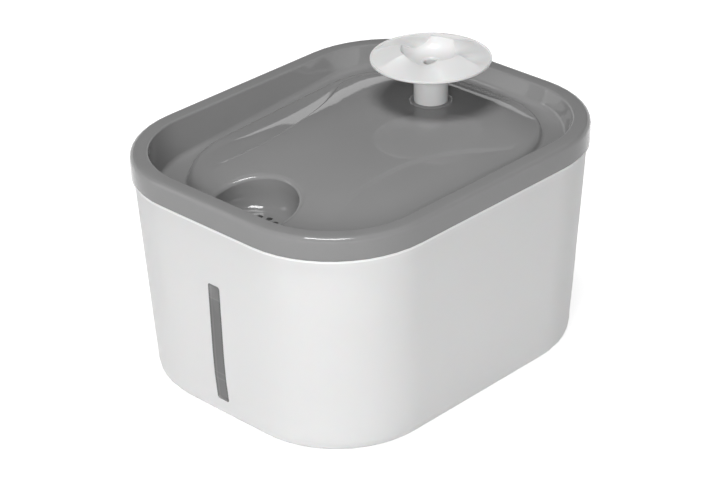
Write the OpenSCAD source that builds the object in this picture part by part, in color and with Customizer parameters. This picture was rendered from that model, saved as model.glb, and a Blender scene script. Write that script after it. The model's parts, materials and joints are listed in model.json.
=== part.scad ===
// Pet water fountain: grey drinking tray on a white tank, with a flower spout.
// Millimetres, +Z up, front (level window) towards -Y, centred on X.

/* [Tray outline] */
// Width of the tray, left to right
tray_w = 180; // [168:1:196]
// Depth of the tray, front to back
tray_d = 222.7; // [212:0.1:236]
// Corner radius of the tray in plan
corner_r = 57.7; // [52:0.1:62]
// Height of the rim above the table
rim_z = 127.8; // [120:0.1:140]
// Height of the skirt that hangs over the tank
skirt_h = 12.2; // [10.5:0.1:15]
// Wall of the tray moulding
tray_t = 2.2; // [1.8:0.1:2.6]
// Width of the rim, from the outside to its inner edge
rim_w = 9.4; // [8.6:0.1:11]

/* [Moat and plateau] */
// Height of the moat floor at mid depth
moat_z = 111; // [109.5:0.1:112.5]
// Slope of the moat floor, down to the front
moat_slope = 0.066; // [0.04:0.002:0.08]
// Height of the plateau's edge at mid depth
plateau_z = 118.1; // [117:0.1:119]
// Slope of the plateau's edge, down to the front
plateau_slope = 0.032; // [0.02:0.002:0.045]
// Distance of the plateau's edge from the outside, at the sides
edge_side = 27.85; // [26:0.05:31]
// Distance of the plateau's edge from the outside, at the front
edge_front = 33.2; // [31.5:0.1:36.5]
// Distance of the plateau's edge from the outside, at the back
edge_back = 22.6; // [21:0.1:26]
// Height of the dome where the stem comes through
dome_z = 126.4; // [125:0.1:128]
// Radius of the curved step on each side of the plateau
step_r = 123; // [118:1:128]
// Drop of that step
step_drop = 1.4; // [0.8:0.1:1.8]

/* [Bowl and drain] */
// Distance of the bowl's centre from the front of the tray
bowl_in = 38.35; // [36.35:0.05:40.35]
// Radius of the bowl at its lip
bowl_r = 21.5; // [19:0.1:22.5]
// Height of the bowl's floor
bowl_z = 102.8; // [102:0.1:103.6]
// Radius of each drain hole
drain_r = 1.6; // [1.2:0.1:2]
// Spacing of the drain holes
drain_pitch = 6.1; // [5.5:0.1:7]

/* [Tank] */
// Thickness of the tank wall
tank_t = 2.4; // [2:0.1:3]
// Setback of the tank wall from the skirt, at the top
tank_top_in = 1.45; // [1.2:0.05:2]
// Setback of the tank wall from the skirt, at the foot
tank_foot_in = 7.2; // [6:0.1:9]
// Height of the rounded foot
foot_round = 8; // [6:0.5:10]
// Gap under the tank, filled by the pads
foot_gap = 1; // [0.6:0.1:1.4]
// Radius of each foot pad
pad_r = 8; // [6:0.5:10]

/* [Level window] */
// Width of the window
window_w = 8.2; // [6:0.1:10]
// Height of the window's lower end
window_low = 13.5; // [12:0.5:18]
// Height of the window's upper end
window_high = 81.5; // [70:0.5:88]

/* [Flower and stem] */
// Distance of the stem's axis from the back of the tray
stem_in = 59.35; // [57.35:0.05:63.35]
// Radius of the stem
stem_r = 9.1; // [8.7:0.1:9.4]
// Radius of the flower
flower_r = 32.2; // [29:0.1:35]
// Height of the flower's outer edge
flower_z = 150.5; // [148:0.1:156]
// Number of petals
petals = 6; // [5:1:7]
// Height of the ridges between petals above the outer edge
ridge_h = 6.5; // [5:0.1:8]
// How far each petal dips between its ridges
petal_dip = 3; // [2:0.1:3.6]

/* [Pump] */
// Height of the shaft above the tank floor
shaft_up = 20.6; // [19.5:0.1:22]
// Radius of the impeller
impeller_r = 10.5; // [9:0.1:11.2]
// Radius of the rotor magnet
magnet_r = 6.2; // [5.6:0.1:6.4]
// Radius of the shaft
shaft_r = 1; // [0.8:0.05:1.2]
// Clearance between shaft and sleeve
shaft_gap = 0.06; // [0.04:0.01:0.1]
// Radius of the cord hole in gland and grommet
cord_r = 2.75; // [2.3:0.05:3]

/* [Filter] */
// Outer radius of the filter basket
basket_r = 24; // [23:0.1:25]
// Depth of the basket under the bowl
basket_h = 30; // [26:0.5:34]

/* [Hidden] */
$fn = 96;
eps = 0.01;

white = [0.92, 0.92, 0.91];
grey = [0.52, 0.52, 0.54];
smoke = [0.45, 0.46, 0.48];
dark = [0.16, 0.16, 0.17];
black = [0.08, 0.08, 0.09];
steel = [0.62, 0.63, 0.65];
copper = [0.72, 0.40, 0.20];

// Points of a rounded rectangle at one height, on a plane that climbs with y
corner_n = 12;
side_x = 3;
side_y = 9;
function side(a, b, m) = [for (i = [1:1:m]) a + (b - a) * i / (m + 1)];
function flat_ring(w, d, r, yo, ms, md) =
  let (cs = [[1, 1], [-1, 1], [-1, -1], [1, -1]],
    arc = function (q) [for (i = [0:corner_n]) let (a = q * 90 + i * 90 / corner_n)
      [cs[q][0] * (w / 2 - r) + r * cos(a), cs[q][1] * (d / 2 - r) + r * sin(a) + yo]],
    a0 = arc(0), a1 = arc(1), a2 = arc(2), a3 = arc(3))
  concat(a0, side(a0[corner_n], a1[0], ms), a1, side(a1[corner_n], a2[0], md),
    a2, side(a2[corner_n], a3[0], ms), a3, side(a3[corner_n], a0[0], md));
function ring(w, d, r, yo, z, k, ms = 0, md = 0) =
  [for (p = flat_ring(w, d, r, yo, ms, md)) [p[0], p[1], z + k * p[1]]];

// Closes a stack of rings into a solid. The first is capped, or comes to the tip
module loft(rings, tip = []) {
  n = len(rings[0]);
  m = len(rings);
  pts = concat([for (r = rings) each r], len(tip) == 0 ? [] : [tip]);
  start = len(tip) == 0 ? [[for (i = [n - 1:-1:0]) i]]
    : [for (i = [0:n - 1]) [(i + 1) % n, i, m * n]];
  walls = [for (j = [0:m - 2], i = [0:n - 1]) let (a = j * n + i, b = j * n + (i + 1) % n)
    each [[a, b, a + n], [b, b + n, a + n]]];
  polyhedron(pts, concat(start, walls, [[for (i = [0:n - 1]) (m - 1) * n + i]]), convexity = 12);
}

// Tray levels
skirt_z = rim_z - skirt_h;
under_z = rim_z - tray_t;
skirt_gap = 0.4;
neck_in = tank_top_in + 1.35;
skirt_in = neck_in - skirt_gap;
neck_t = 1.9;
plateau_w = tray_w - 2 * edge_side;
plateau_d = tray_d - edge_front - edge_back;
plateau_r = corner_r - 16.3;
plateau_yo = (edge_front - edge_back) / 2;
moat_in_w = plateau_w + 14.2;
moat_in_d = plateau_d + 14.9;
moat_in_r = corner_r - 6.3;
moat_in_yo = plateau_yo - 3.2;
bowl_y = bowl_in - tray_d / 2;
stem_y = tray_d / 2 - stem_in;
moat_out_in = 12.6;

// A ring that follows the outline, set in by i, flat at height z
function rim_ring(i, z, k = 0) =
  ring(tray_w - 2 * i, tray_d - 2 * i, corner_r - i, 0, z, k, side_x, side_y);
// A ring between the moat's inner foot and the plateau's edge, going in and up on a curve
function shoulder_ring(a, drop, grow) =
  let (h = 1 - cos(a), v = sin(a), g = 2 * grow,
    lo = ring(moat_in_w - g, moat_in_d - g, moat_in_r - grow, moat_in_yo, moat_z + 0.8 - drop,
      moat_slope, side_x, side_y),
    hi = ring(plateau_w - g, plateau_d - g, plateau_r - grow, plateau_yo, plateau_z - drop,
      plateau_slope, side_x, side_y))
  [for (i = [0:len(lo) - 1]) [lo[i][0] + (hi[i][0] - lo[i][0]) * h,
    lo[i][1] + (hi[i][1] - lo[i][1]) * h, lo[i][2] + (hi[i][2] - lo[i][2]) * v]];
// Distance from a point on the middle line to the plateau's edge, along f
function sgn(a) = a < 0 ? -1 : 1;
function plateau_reach(oy, f) =
  let (hw = plateau_w / 2, hd = plateau_d / 2, t = hw / max(abs(f[0]), eps),
    side_hit = oy + t * f[1] - plateau_yo, end = sgn(side_hit),
    s = abs((end * hd + plateau_yo - oy) / max(abs(f[1]), eps)),
    c = [sgn(f[0]) * (hw - plateau_r), plateau_yo - oy + end * (hd - plateau_r)], m = c * f)
  abs(side_hit) <= hd - plateau_r ? t
    : s * abs(f[0]) <= hw - plateau_r ? s
    : m + sqrt(max(pow(plateau_r, 2) - c * c + m * m, 0));

// Height of the dome at p: flat round the stem, falling to the plateau's edge
dome_top_r = stem_r + 2.6;
function dome_at(p, edge, top) =
  let (v = p - [0, stem_y], n = norm(v), f = v / max(n, eps),
    l = plateau_reach(stem_y, f), u = max(0, min(1, (n - dome_top_r) / (l - dome_top_r))),
    e = edge + plateau_slope * (stem_y + l * f[1]))
  e + (top - e) * (1 - pow(u, 2.6));

// Rings of the plateau. Each ray from the middle meets the curved step of its side at the
// circle of radius r, and stays short of the edge by near
step_x = tray_w / 2 + 68.5;
mid_y = (bowl_y + stem_y) / 2 + 0.5;
step_y = mid_y - 18;
step_face = [[0.5, 0], [0, 0.08], [-0.7, 0.4], [-1.4, 0.8], [-2.1, 1]];
function step_at(f, l, r, near) =
  let (c = [sgn(f[0]) * step_x, step_y - mid_y], m = c * f, g = r * r - c * c + m * m)
  min(g > 0 ? m - sqrt(g) : max(m, 0.85 * l) + step_r - r, l - near);
function ease(a) = let (t = max(0, min(1, a))) t * t * (3 - 2 * t);
function drop_at(f, l, e) =
  let (t = step_at(f, l, step_r - 2.1, 1.8), p = [0, mid_y] + f * t,
    spare = l - step_at(f, l + 40, step_r, 0))
  min(step_drop * ease((p[1] - bowl_y - 5) / 34), 0.8 * (dome_at(p, plateau_z, dome_z) - e))
    * ease(spare / 5);
function plateau_ring(edge, kind, k) =
  [for (q = edge) let (v = [q[0], q[1] - mid_y], l = norm(v), f = v / l,
    top = step_at(f, l, step_r + 0.5, 4.2), foot = step_at(f, l, step_r - 2.1, 1.8),
    t = kind == 0 ? top * k : kind == 1 ? step_at(f, l, step_r + step_face[k][0], 4.2 - k * 0.6)
      : foot + (l - foot) * k,
    share = kind == 0 ? 0 : kind == 1 ? step_face[k][1] : 1 - k, p = [0, mid_y] + f * t)
    [p[0], p[1], dome_at(p, plateau_z, dome_z) - share * drop_at(f, l, q[2])]];

// A ring of the underside: u runs from 1 at the edge to 0 at the stem
function under_ring(u, edge, top) =
  [for (p = edge) let (v = [p[0], p[1] - stem_y], f = v / norm(v),
    q = [0, stem_y] + f * (dome_top_r + (norm(v) - dome_top_r) * u))
    [q[0], q[1], p[2] + (top - p[2]) * (1 - pow(u, 2.6))]];

module tray_shell() {
  edge = shoulder_ring(90, 0, 0);
  low = shoulder_ring(90, tray_t + 0.3, tray_t);
  loft(tip = [0, mid_y, dome_at([0, mid_y], plateau_z, dome_z)], rings = concat(
    [for (k = [0.2, 0.42, 0.62, 0.78, 0.91]) plateau_ring(edge, 0, k)],
    [for (k = [0:4]) plateau_ring(edge, 1, k)],
    [for (k = [0.3, 0.65]) plateau_ring(edge, 2, k)],
    [for (a = [90, 72, 55, 38, 20, 5]) shoulder_ring(a, 0, 0)],
    [ring(moat_in_w + 3, moat_in_d + 3, moat_in_r + 1.2, moat_in_yo, moat_z, moat_slope, side_x, side_y),
      rim_ring(moat_out_in + 2, moat_z, moat_slope),
      rim_ring(moat_out_in + 0.3, moat_z + 0.8, moat_slope),
      rim_ring(moat_out_in - 0.4, moat_z + 2.6, moat_slope),
      rim_ring(rim_w + 0.1, rim_z - 1.1), rim_ring(rim_w - 0.3, rim_z - 0.35),
      rim_ring(rim_w - 1, rim_z), rim_ring(2.7, rim_z), rim_ring(1.4, rim_z - 0.4),
      rim_ring(0.5, rim_z - 1.25), rim_ring(0, rim_z - 2.6), rim_ring(0, skirt_z + 0.5),
      rim_ring(0.5, skirt_z), rim_ring(skirt_in, skirt_z), rim_ring(skirt_in, under_z),
      rim_ring(rim_w - tray_t, under_z), rim_ring(moat_out_in - 0.4 - tray_t, moat_z, moat_slope),
      rim_ring(moat_out_in + 1.5 - tray_t, moat_z - tray_t, moat_slope),
      ring(moat_in_w, moat_in_d, moat_in_r - 0.4, moat_in_yo, moat_z - tray_t, moat_slope, side_x, side_y),
      shoulder_ring(20, tray_t, tray_t), shoulder_ring(50, tray_t + 0.2, tray_t), low],
    [for (u = [0.72, 0.4, 0]) under_ring(u, low, dome_z - 6.2)]));
}

// Bowl: a cup whose top follows the plateau, the front wall and the moat
bowl_out = bowl_r + tray_t;
cup_low = bowl_z - tray_t;
edge_y = plateau_yo - plateau_d / 2;
foot_y = moat_in_yo - moat_in_d / 2;
edge_z = plateau_z + plateau_slope * edge_y;
foot_z = moat_z + moat_slope * foot_y;
lip_slope = (dome_z - edge_z) / (stem_y - edge_y) * 0.9;
lip_z = edge_z + lip_slope * (bowl_y - edge_y) + 1.5;
lip_round = 2;
module bowl_cup() {
  intersection() {
    translate([0, bowl_y, cup_low]) cylinder(r = bowl_out, h = rim_z - cup_low);
    rotate([90, 0, 90]) translate([0, 0, -tray_w / 4]) linear_extrude(tray_w / 2) polygon([
      [bowl_y - bowl_out - 1, cup_low - 1], [bowl_y - bowl_out - 1, foot_z - 1.2],
      [foot_y, foot_z - 0.6], [foot_y + 1, foot_z + 3.6], [foot_y + 4.2, edge_z - 2.6],
      [edge_y, edge_z - 1.3], [bowl_y + bowl_out + 1, edge_z + 0.4],
      [bowl_y + bowl_out + 1, cup_low - 1]]);
  }
}
lip_arc = [for (a = [30:12:90])
  [bowl_r + lip_round * (1 - cos(a)), -lip_round * (1 - sin(a))]];
module bowl_pocket() {
  translate([0, bowl_y, bowl_z])
    cylinder(r1 = bowl_r - 1.4, r2 = bowl_r + 0.55, h = lip_z - bowl_z + 2.5);
  translate([0, bowl_y, lip_z]) rotate([atan(lip_slope), 0, 0]) rotate_extrude()
    polygon(concat([[0, 12], [0, -3.6], [lip_arc[0][0] - 1.5, -3.6]], lip_arc,
      [[bowl_r + lip_round, 12]]));
}
module drain_holes() {
  for (i = [0:6]) translate([0, bowl_y, cup_low - 1])
    rotate(i * 60) translate([i == 6 ? 0 : drain_pitch, 0]) cylinder(r = drain_r, h = tray_t + 3);
}
spigot_r = basket_r - 3.5;
spigot_h = 7;
module spigot() {
  translate([0, bowl_y, cup_low - spigot_h]) difference() {
    cylinder(r = spigot_r, h = spigot_h + 0.6);
    translate([0, 0, -1]) cylinder(r = spigot_r - 1.8, h = spigot_h + 1);
  }
}

module top_tray() color(grey) difference() {
  union() {
    tray_shell();
    bowl_cup();
    spigot();
    translate([0, stem_y, dome_z - 2]) {
      cylinder(r = stem_r + 2.1, h = 2.5);
      translate([0, 0, 2.5]) cylinder(r1 = stem_r + 2.1, r2 = stem_r + 1.6, h = 0.4);
    }
  }
  bowl_pocket();
  drain_holes();
  translate([0, stem_y, dome_z - 20]) cylinder(r = stem_r + 0.25, h = 40);
}

// Tank levels: height, setback from the outline, corner radius
wall_top = skirt_z - 0.3;
wall_low = foot_gap + foot_round;
wall_run = tank_foot_in - tank_top_in;
function level(f, s, r) = [wall_low + (wall_top - wall_low) * f, tank_top_in + wall_run * s,
  corner_r + r];
walls = [level(0, 1, -3.9), level(0.065, 0.86, -2), level(0.18, 0.65, -0.1),
  level(0.31, 0.53, 0), level(0.45, 0.47, -1.2), level(0.667, 0.37, -3), level(0.86, 0.16, -2.1),
  level(0.992, 0.01, -1.5)];
function wall_in(z) = lookup(z, [for (w = walls) [w[0], w[1]]]);
function tank_ring(i, z, r) = ring(tray_w - 2 * i, tray_d - 2 * i, r, 0, z, 0);
floor_z = foot_gap + tank_t;
module tank_shell() {
  loft(concat(
    [tank_ring(wall_low + 14, floor_z, corner_r - 16)],
    [for (a = [90, 55, 25]) tank_ring(tank_foot_in + tank_t + 5 * (1 - cos(a)),
      floor_z + 5.6 * (1 - sin(a)), corner_r - 6.3 - 4 * (1 - cos(a)))],
    [for (w = walls) tank_ring(w[1] + tank_t, max(w[0], floor_z + 5.7), w[2] - tank_t)],
    [tank_ring(neck_in + neck_t, wall_top + 1.5, corner_r - neck_in - neck_t),
      tank_ring(neck_in + neck_t, under_z - 0.4, corner_r - neck_in - neck_t),
      tank_ring(neck_in + neck_t - 0.4, under_z, corner_r - neck_in - neck_t + 0.4),
      tank_ring(neck_in + 0.4, under_z, corner_r - neck_in - 0.4),
      tank_ring(neck_in, under_z - 0.4, corner_r - neck_in),
      tank_ring(neck_in, wall_top, corner_r - neck_in),
      tank_ring(tank_top_in + 0.7, wall_top, corner_r - tank_top_in - 0.7),
      tank_ring(tank_top_in + 0.2, wall_top - 0.25, corner_r - tank_top_in - 0.2)],
    [for (i = [len(walls) - 1:-1:0]) tank_ring(walls[i][1], walls[i][0], walls[i][2])],
    [for (a = [22, 44, 66, 90]) tank_ring(tank_foot_in + 8.8 * (1 - cos(a)),
      wall_low - foot_round * sin(a), corner_r - 3.9 - 6.6 * (1 - cos(a)))]));
}
// Window: a strip of the wall itself, so it stays flush
window_mid = (window_low + window_high) / 2;
window_h = window_high - window_low;
module window_slot(w, h, r) {
  translate([0, 0, window_mid]) rotate([90, 0, 0]) linear_extrude(tray_d / 2) union() {
    square([w, h - 2 * r], center = true);
    square([w - 2 * r, h], center = true);
    for (x = [-1, 1], z = [-1, 1]) translate([x * (w / 2 - r), z * (h / 2 - r)]) circle(r);
  }
}
// A slab that follows the front wall, from depth a to depth b
module wall_slab(a, b, w, z0, z1) {
  zs = concat([z0], [for (l = walls) if (l[0] > z0 + 0.1 && l[0] < z1 - 0.1) l[0]], [z1]);
  rotate([90, 0, 90]) translate([0, 0, -w / 2]) linear_extrude(w) polygon(concat(
    [for (z = zs) [-tray_d / 2 + wall_in(z) + a, z]],
    [for (i = [len(zs) - 1:-1:0]) [-tray_d / 2 + wall_in(zs[i]) + b, zs[i]]]));
}
frame_side = 3;
module level_window() color(smoke) union() {
  intersection() {
    wall_slab(0, tank_t + 0.4, window_w + 2, window_low - 1, window_high + 1);
    window_slot(window_w - 0.1, window_h - 0.1, 1.35);
  }
  wall_slab(tank_t, tank_t + 1.4, window_w + 2 * frame_side, window_low, window_high + frame_side);
}
pad_x = tray_w * 0.28;
pad_y = tray_d * 0.33;
pad_in = 1.2;
module pad_places() for (x = [-1, 1], y = [-1, 1]) translate([x * pad_x, y * pad_y]) children();
module foot_pads() color(dark) pad_places() {
  cylinder(r1 = pad_r - 0.6, r2 = pad_r - 0.1, h = foot_gap);
  translate([0, 0, foot_gap - eps]) cylinder(r = pad_r - 0.1, h = pad_in + eps);
}

// Cord grommet, square to the drafted back wall
grommet_z = wall_top - 13;
grommet_lean = atan((wall_in(grommet_z - 5) - wall_in(grommet_z + 5)) / 10);
grommet_hole = cord_r + 1.9;
module at_grommet() translate([0, tray_d / 2 - wall_in(grommet_z), grommet_z])
  rotate([-90 - grommet_lean, 0, 0]) children();
module tank() color(white) difference() {
  tank_shell();
  window_slot(window_w, window_h, 1.4);
  at_grommet() translate([0, 0, -tank_t - 4]) cylinder(r = grommet_hole, h = 8);
  translate([0, 0, -eps]) pad_places() cylinder(r = pad_r, h = foot_gap + pad_in + eps);
}
module cable_grommet() color(dark) at_grommet() difference() {
  union() {
    translate([0, 0, -tank_t]) cylinder(r = grommet_hole - 0.05, h = tank_t);
    cylinder(r = grommet_hole + 2, h = 0.9);
    translate([0, 0, -tank_t - 1.2]) cylinder(r = grommet_hole + 2, h = 1.2);
  }
  translate([0, 0, -tank_t - 3]) cylinder(r = cord_r, h = tank_t + 6);
}

// Pump places along the shaft, which runs front to back
shaft_z = floor_z + shaft_up;
pipe_y = stem_y;
chamber_r = impeller_r + 2;
cover_y = pipe_y - 9.6;
body_y = pipe_y + 9.5;
body_l = 29;
body_w = 38;
cup_h = 5.6;
body_low = floor_z + cup_h;
body_h = 44;
well_r = magnet_r + 0.8;
well_l = body_l - 4;
well_t = 1.2;
pipe_r = 6;
pipe_bore = 4.2;
collar_z = shaft_z + chamber_r + 6;
pipe_top = collar_z + 14;
module along_shaft(y) translate([0, y, shaft_z]) rotate([-90, 0, 0]) children();
module round_box(w, l, h, r) linear_extrude(h) union() {
  square([w, l - 2 * r], center = true);
  square([w - 2 * r, l], center = true);
  for (x = [-1, 1], y = [-1, 1]) translate([x * (w / 2 - r), y * (l / 2 - r)]) circle(r);
}
cup_x = body_w / 2 - 6;
module cup_places() for (x = [-1, 1], y = [body_y + 7, body_y + body_l - 7])
  translate([x * cup_x, y]) children();

module pump_housing() color(dark) difference() {
  union() {
    difference() {
      translate([0, body_y + body_l / 2, body_low]) round_box(body_w, body_l, body_h, 2);
      translate([0, body_y + body_l / 2 + 3, body_low + 2])
        round_box(body_w - 4, body_l - 1, body_h - 4, 2);
    }
    along_shaft(body_y + 1) cylinder(r = well_r + well_t, h = well_l + well_t - 1);
  }
  along_shaft(body_y - 1) cylinder(r = well_r, h = well_l + 1);
  translate([0, 0, body_low - 1]) cup_places() cylinder(r = 1.9, h = 4);
}
// Stator: a loop of laminations round the well with the coil on its upper bar
core_y = body_y + 7;
core_l = body_l - 15;
core_half = body_w / 2 - 5.5;
pole_gap = well_r + well_t + 0.25;
bar_z = shaft_z + well_r + well_t + 7.6;
bar_h = 6;
module stator_core() color(steel) translate([0, core_y, 0]) difference() {
  translate([-core_half, 0, shaft_z - 7]) cube([2 * core_half, core_l, bar_z + bar_h / 2 - shaft_z + 7]);
  translate([0, -1, shaft_z]) rotate([-90, 0, 0]) cylinder(r = pole_gap, h = core_l + 2);
  translate([-core_half + 5, -1, shaft_z + 7]) cube([2 * core_half - 10, core_l + 2,
    bar_z - bar_h / 2 - shaft_z - 7]);
  translate([-3, -1, shaft_z - 8]) cube([6, core_l + 2, 8]);
}
bobbin_half = core_half - 5.2;
module bobbin_ring(w, g, t) {
  translate([-w, core_y - g - t, bar_z - bar_h / 2 - g - t]) difference() {
    cube([2 * w, core_l + 2 * g + 2 * t, bar_h + 2 * g + 2 * t]);
    translate([-1, t, t]) cube([2 * w + 2, core_l + 2 * g, bar_h + 2 * g]);
  }
}
module stator_bobbin() color(white) union() {
  bobbin_ring(bobbin_half, 0.1, 0.8);
  for (x = [-1, 1]) translate([x * (bobbin_half - 0.5), 0, 0]) bobbin_ring(0.5, 0.1, 3);
}
module stator_coil() color(copper) bobbin_ring(bobbin_half - 1.05, 0.95, 2);
module rear_cap() color(dark) difference() {
  translate([0, body_y + body_l, body_low + 2.05]) rotate([90, 0, 0]) translate([0, 0, 0.05])
    translate([-(body_w - 4.1) / 2, 0, 0]) cube([body_w - 4.1, body_h - 4.1, 2]);
  gland_hole();
}
gland_z = body_low + body_h - 10;
module at_gland() translate([0, body_y + body_l, gland_z]) rotate([-90, 0, 0]) children();
module gland_hole() at_gland() translate([0, 0, -6]) cylinder(r = cord_r + 1.3, h = 12);
module cable_gland() color(black) at_gland() difference() {
  union() {
    translate([0, 0, -3.6]) cylinder(r = cord_r + 1.25, h = 5);
    cylinder(r = cord_r + 2.6, h = 1.5);
    cylinder(r1 = cord_r + 2, r2 = cord_r + 1.3, h = 7);
    translate([0, 0, -3.6]) cylinder(r = cord_r + 2.6, h = 1.5);
  }
  translate([0, 0, -5]) cylinder(r = cord_r, h = 14);
}

// Volute: front plate, chamber ring and the outlet pipe
plate_w = body_w - 4;
plate_t = 3;
intake_r = 7.5;
plate_low = body_low;
plate_h = shaft_z + 17 - plate_low;
chamber_y = cover_y + plate_t;
module volute_body() difference() {
  union() {
    translate([-plate_w / 2, cover_y, plate_low]) cube([plate_w, plate_t, plate_h]);
    along_shaft(cover_y + 1) cylinder(r = chamber_r + 2, h = body_y - cover_y - 1);
    translate([-plate_w / 2, body_y - 2.5, plate_low]) cube([plate_w, 2.5, plate_h - 3]);
    translate([0, pipe_y, shaft_z + 8]) cylinder(r = pipe_r, h = pipe_top - shaft_z - 8);
    translate([0, pipe_y, collar_z - 3]) cylinder(r = pipe_r + 1.4, h = 3);
    translate([0, cover_y, plate_low + 3]) linear_extrude(plate_h - 5) {
      slider_rail();
      mirror([1, 0]) slider_rail();
    }
  }
  along_shaft(chamber_y) cylinder(r = chamber_r, h = body_y - chamber_y + 1);
  translate([0, pipe_y, shaft_z + 7]) cylinder(r = pipe_bore, h = pipe_top - shaft_z - 6);
  along_shaft(cover_y - 1) cylinder(r = intake_r, h = plate_t + 2);
}
// Spider that carries the front bush in the intake
module spider() {
  along_shaft(cover_y + 0.1) cylinder(r = bush_r + 1.4, h = plate_t - 0.2);
  for (i = [0:2]) translate([0, cover_y + 0.3, shaft_z]) rotate([0, 90 + i * 120, 0])
    translate([0, 0, -0.8]) cube([intake_r + 0.8, plate_t - 0.6, 1.6]);
}
module volute_cover() color(dark) difference() {
  union() {
    volute_body();
    spider();
  }
  along_shaft(cover_y - 1) cylinder(r = bush_r + 0.02, h = plate_t + 2);
}
module slider_rail() polygon([[6.9, 0.5], [6.9, -2.2], [5.9, -2.2], [5.9, -3.2], [9.4, -3.2], [9.4, 0.5]]);
bush_r = 2.6;
module front_bush() color(black) difference() {
  along_shaft(cover_y + 0.2) cylinder(r = bush_r, h = plate_t + 0.9);
  along_shaft(cover_y + 1.2) cylinder(r = shaft_r + 0.02, h = plate_t + 2);
}
rear_bush_y = body_y + well_l - 3;
module rear_bush() color(black) difference() {
  along_shaft(rear_bush_y) cylinder(r = well_r - 0.05, h = 3);
  along_shaft(rear_bush_y - 1) cylinder(r = shaft_r + 0.02, h = 3);
}
shaft_y = cover_y + 1.25;
module impeller_shaft() color(steel)
  along_shaft(shaft_y) cylinder(r = shaft_r, h = rear_bush_y + 1.95 - shaft_y);

// Impeller: sleeve, back shroud and straight vanes
sleeve_y = cover_y + plate_t + 2.1;
sleeve_r = 2.3;
shroud_y = body_y - 3;
vanes = 6;
module impeller() color(white) difference() {
  union() {
    along_shaft(sleeve_y) cylinder(r = sleeve_r, h = rear_bush_y - 1 - sleeve_y);
    along_shaft(shroud_y) cylinder(r = impeller_r, h = 1.2);
    for (i = [0:vanes - 1]) translate([0, sleeve_y + 1, shaft_z]) rotate([0, i * 360 / vanes, 0])
      translate([1.5, 0, -0.5]) cube([impeller_r - 1.8, shroud_y - sleeve_y - 0.8, 1]);
  }
  along_shaft(sleeve_y - 1) cylinder(r = shaft_r + shaft_gap, h = body_l + 20);
}
magnet_y = body_y + 1.4;
module rotor_magnet() color(black) difference() {
  along_shaft(magnet_y) cylinder(r = magnet_r, h = rear_bush_y - 2.2 - magnet_y);
  along_shaft(magnet_y - 1) cylinder(r = sleeve_r, h = body_l);
}

// Flow slider in front of the intake, held by the two rails
slider_t = 1.9;
slider_w = 13.4;
module flow_slider() color(white) translate([0, cover_y - slider_t - 0.1, 0]) union() {
  translate([-slider_w / 2, 0, shaft_z + 2]) cube([slider_w, slider_t, plate_low + plate_h - shaft_z - 4]);
  translate([-3, -0.9, shaft_z + 8.2]) cube([6, 1, 4]);
  translate([-3, 0, plate_low + plate_h - 3]) cube([6, slider_t, 9]);
}
// Cage with slots, open to the plate
cage_l = 13;
module strainer_cage() color(dark) difference() {
  translate([-plate_w / 2, cover_y - cage_l, plate_low]) cube([plate_w, cage_l, plate_h]);
  translate([-plate_w / 2 + 1.8, cover_y - cage_l + 1.8, plate_low + 1.8])
    cube([plate_w - 3.6, cage_l, plate_h - 3.6]);
  for (i = [-3:3]) translate([i * 4 - 1, cover_y - cage_l - 1, plate_low + 5])
    cube([2, 4, plate_h - 10]);
  for (x = [-1, 1], i = [0:1]) translate([x * (plate_w / 2 - 1) - 2, cover_y - cage_l + 3 + i * 4,
    plate_low + 5]) cube([4, 2, plate_h - 10]);
  translate([-slider_w / 2 - 0.4, cover_y - 3.6, plate_low + plate_h - 3])
    cube([slider_w + 0.8, 4, 6]);
}
module pump_foam() color(dark) translate([-plate_w / 2 + 1.85, cover_y - cage_l + 1.8,
  plate_low + 1.8]) cube([plate_w - 3.7, cage_l - 5.4, plate_h - 3.65]);
module suction_cups() color(black) cup_places() {
  translate([0, 0, floor_z]) rotate_extrude() difference() {
    polygon([[0, 0.6], [4.4, 0], [6.6, 0], [6.6, 0.5], [3.4, 2.2], [2.6, 3.2], [2.6, cup_h],
      [0, cup_h]]);
  }
  translate([0, 0, body_low - eps]) cylinder(r = 1.85, h = 2);
}

// Riser from the pump into the stem, with a ring seal
riser_top = dome_z - 14;
riser_out = pipe_r + 1.4;
module riser_tube() color(smoke) translate([0, pipe_y, 0]) difference() {
  union() {
    translate([0, 0, collar_z]) cylinder(r = riser_out, h = riser_top - collar_z);
    translate([0, 0, riser_top - 14]) cylinder(r = riser_out + 1.4, h = 2);
  }
  translate([0, 0, collar_z - 1]) cylinder(r = pipe_r + 0.05, h = riser_top - collar_z + 2);
  translate([0, 0, riser_top - 6]) rotate_extrude() translate([riser_out + 0.02, 0]) circle(0.62);
}
module riser_oring() color(black) translate([0, pipe_y, riser_top - 6]) rotate_extrude()
  translate([riser_out - 0.18, 0]) circle(0.4);
stem_low = riser_top - 12;
dish_seat = flower_z - 9.5;
stem_bore = riser_out + 0.25;
module flower_stem() color(white) translate([0, stem_y, 0]) difference() {
  translate([0, 0, stem_low]) cylinder(r = stem_r, h = dish_seat - stem_low);
  translate([0, 0, stem_low - 1]) cylinder(r = stem_bore, h = riser_top - stem_low + 1);
  translate([0, 0, stem_low - 1]) cylinder(r = pipe_r, h = dish_seat - stem_low + 2);
  translate([0, 0, dish_seat - 6]) cylinder(r = stem_bore, h = 7);
}

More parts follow.
